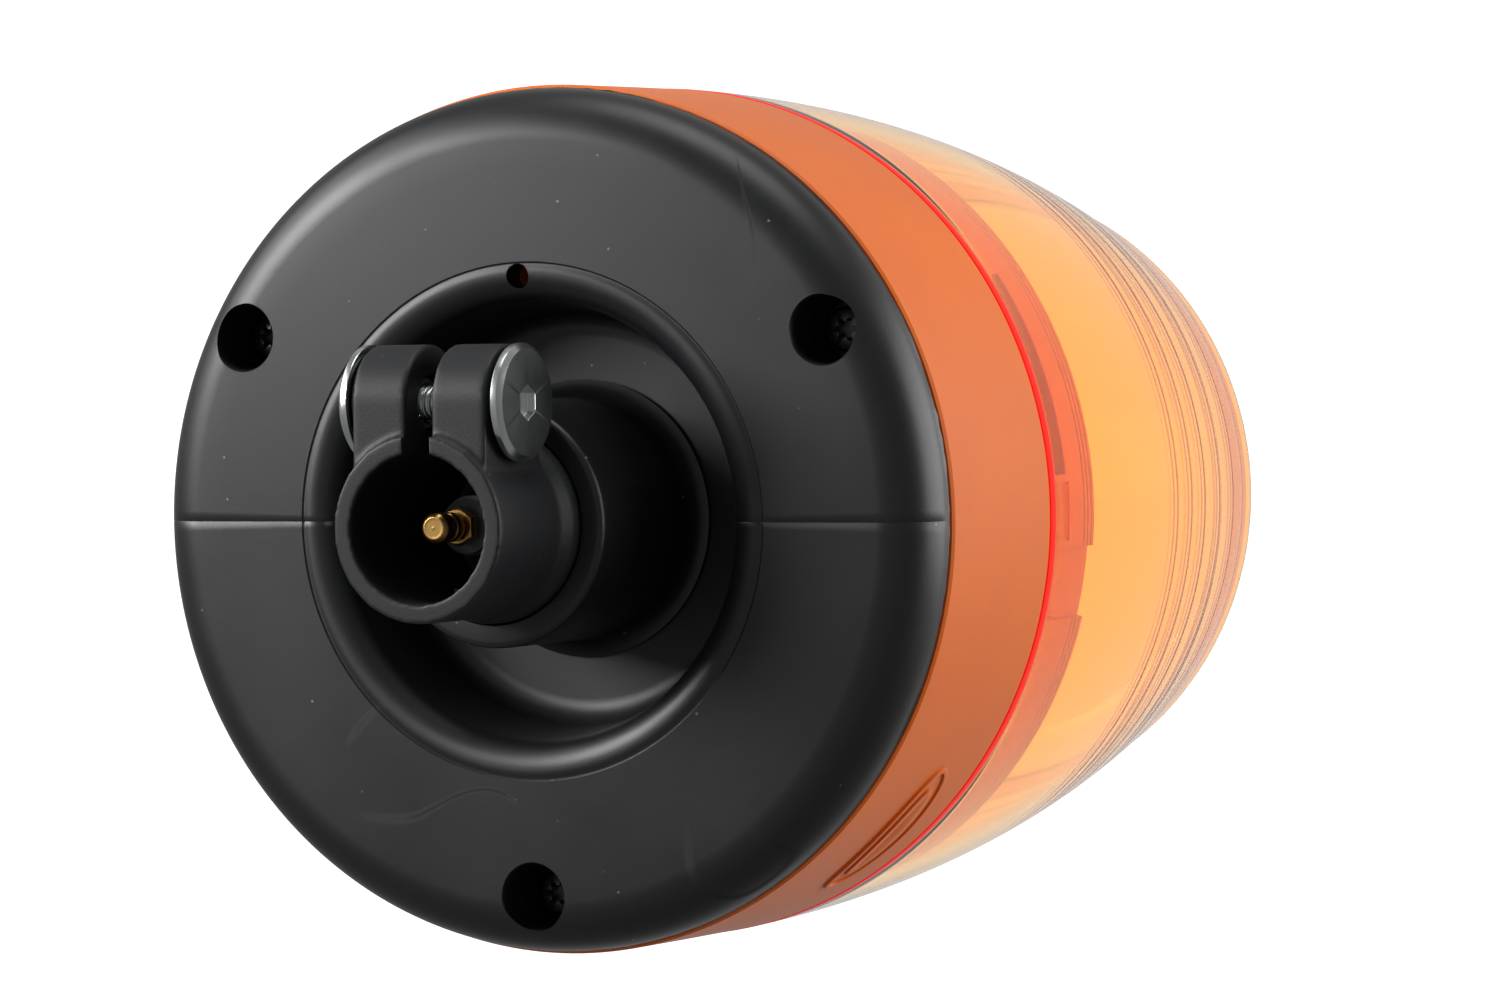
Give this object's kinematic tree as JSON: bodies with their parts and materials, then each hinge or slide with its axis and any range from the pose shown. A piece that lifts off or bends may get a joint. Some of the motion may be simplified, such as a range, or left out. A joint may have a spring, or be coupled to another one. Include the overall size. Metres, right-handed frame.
{
  "type": "warning beacon",
  "caption": "Amber rotating warning beacon with a geared reflector, a flexible black rubber foot and a clamp socket for a vehicle's mounting pole.",
  "frame": {"origin": "centre of the clamp socket's mouth, on the pole's axis", "axes": "+Z along the socket's axis towards the top of the lens; +Y towards the clamp's ears"},
  "size_m": [0.149, 0.149, 0.2355],
  "materials": {
    "rubber": "moulded black rubber, semi-gloss, lightly scuffed",
    "nylon": "glass-filled black nylon, fine grain",
    "satin_orange": "satin amber-orange plastic, back-lit look",
    "amber": "clear amber polycarbonate, polished",
    "clear_glass": "quartz glass",
    "zinc": "bright zinc plating",
    "dark_steel": "dark zinc or blackened steel",
    "brass": "turned brass",
    "copper": "enamelled copper winding",
    "grey_plastic": "moulded grey plastic",
    "white_acetal": "natural acetal",
    "mirror": "vacuum-coated mirror",
    "board": "circuit board with solder mask",
    "red_insulation": "PVC insulation",
    "brown_insulation": "PVC insulation"
  },
  "bodies": {
    "socket": {"clamp_socket": "nylon", "clamp_nut": "zinc", "nut_washer": "dark_steel", "contact_insulator": "grey_plastic", "contact_stud": "brass", "contact_nut": "brass", "contact_tag": "brass", "contact_spring": "zinc", "earth_contact": "brass"},
    "plunger": {"contact_plunger": "brass"},
    "bolt_carriage": {"bolt_washer": "dark_steel"},
    "bolt": {"clamp_bolt": "zinc"},
    "neck": {"rubber_neck": "rubber", "supply_lead": "red_insulation", "earth_lead": "brown_insulation"},
    "head": {"rubber_foot": "rubber", "housing": "satin_orange", "lens_seal": "rubber", "foot_screw_1": "dark_steel", "foot_screw_2": "dark_steel", "foot_screw_3": "dark_steel", "foot_washer_1": "dark_steel", "foot_washer_2": "dark_steel", "foot_washer_3": "dark_steel", "chassis_plate": "zinc", "chassis_screw_1": "zinc", "chassis_screw_2": "zinc", "chassis_screw_3": "zinc", "lamp_pedestal": "grey_plastic", "pedestal_screw_1": "zinc", "pedestal_screw_2": "zinc", "bulb_base": "zinc", "bulb_glass": "clear_glass", "bulb_filament": "dark_steel", "bulb_clip": "zinc", "lamp_lead": "red_insulation", "motor_case": "zinc", "motor_end_cap": "grey_plastic", "motor_screw_1": "zinc", "motor_screw_2": "zinc", "motor_bush": "brass", "circuit_board": "board", "capacitor": "dark_steel", "suppressor_choke": "copper", "motor_lead": "red_insulation", "rotor_bush": "brass", "retaining_ring": "dark_steel"},
    "armature": {"motor_shaft": "zinc", "motor_pinion": "white_acetal", "motor_armature": "copper"},
    "rotor": {"ring_gear": "white_acetal", "reflector": "mirror", "reflector_screw_1": "zinc", "reflector_screw_2": "zinc"},
    "lens": {"lens_dome": "amber"}
  },
  "joints": [
    {"name": "contact_press", "type": "slide", "parent": "socket", "child": "plunger", "axis": [0, 0, 1], "range_m": [0, 0.0012], "stiffness_N_per_m": 800, "springref_m": -0.001, "deforming": ["contact_spring"]},
    {"name": "bolt_travel", "type": "slide", "parent": "socket", "child": "bolt_carriage", "axis": [-1, 0, 0], "range_m": [0, 0.0031]},
    {"name": "bolt_turn", "type": "hinge", "parent": "bolt_carriage", "child": "bolt", "pos_m": [0, 0.0204, 0.0107], "axis": [-1, 0, 0], "range_deg": [0, 1080]},
    {"name": "neck_bend_x", "type": "hinge", "parent": "socket", "child": "neck", "pos_m": [0, 0, 0.045], "axis": [1, 0, 0], "range_deg": [-20, 20], "stiffness_Nm_per_rad": 14, "deforming": ["rubber_neck", "supply_lead", "earth_lead"]},
    {"name": "neck_bend_y", "type": "hinge", "parent": "neck", "child": "head", "pos_m": [0, 0, 0.055], "axis": [0, 1, 0], "range_deg": [-20, 20], "stiffness_Nm_per_rad": 14},
    {"name": "rotor_spin", "type": "hinge", "parent": "head", "child": "rotor", "pos_m": [0, 0, 0.0945], "axis": [0, 0, 1], "continuous": true},
    {"name": "motor_spin", "type": "hinge", "parent": "head", "child": "armature", "pos_m": [-0.036, 0, 0.0945], "axis": [0, 0, 1], "continuous": true},
    {"name": "lens_twist", "type": "hinge", "parent": "head", "child": "lens", "pos_m": [0, 0, 0.0984], "axis": [0, 0, 1], "range_deg": [0, 20]}
  ],
  "couplings": [
    {"joint": "bolt_travel", "follows": "bolt_turn", "m_per_rad": 0.00015915},
    {"joint": "motor_spin", "follows": "rotor_spin", "ratio": -4}
  ]
}
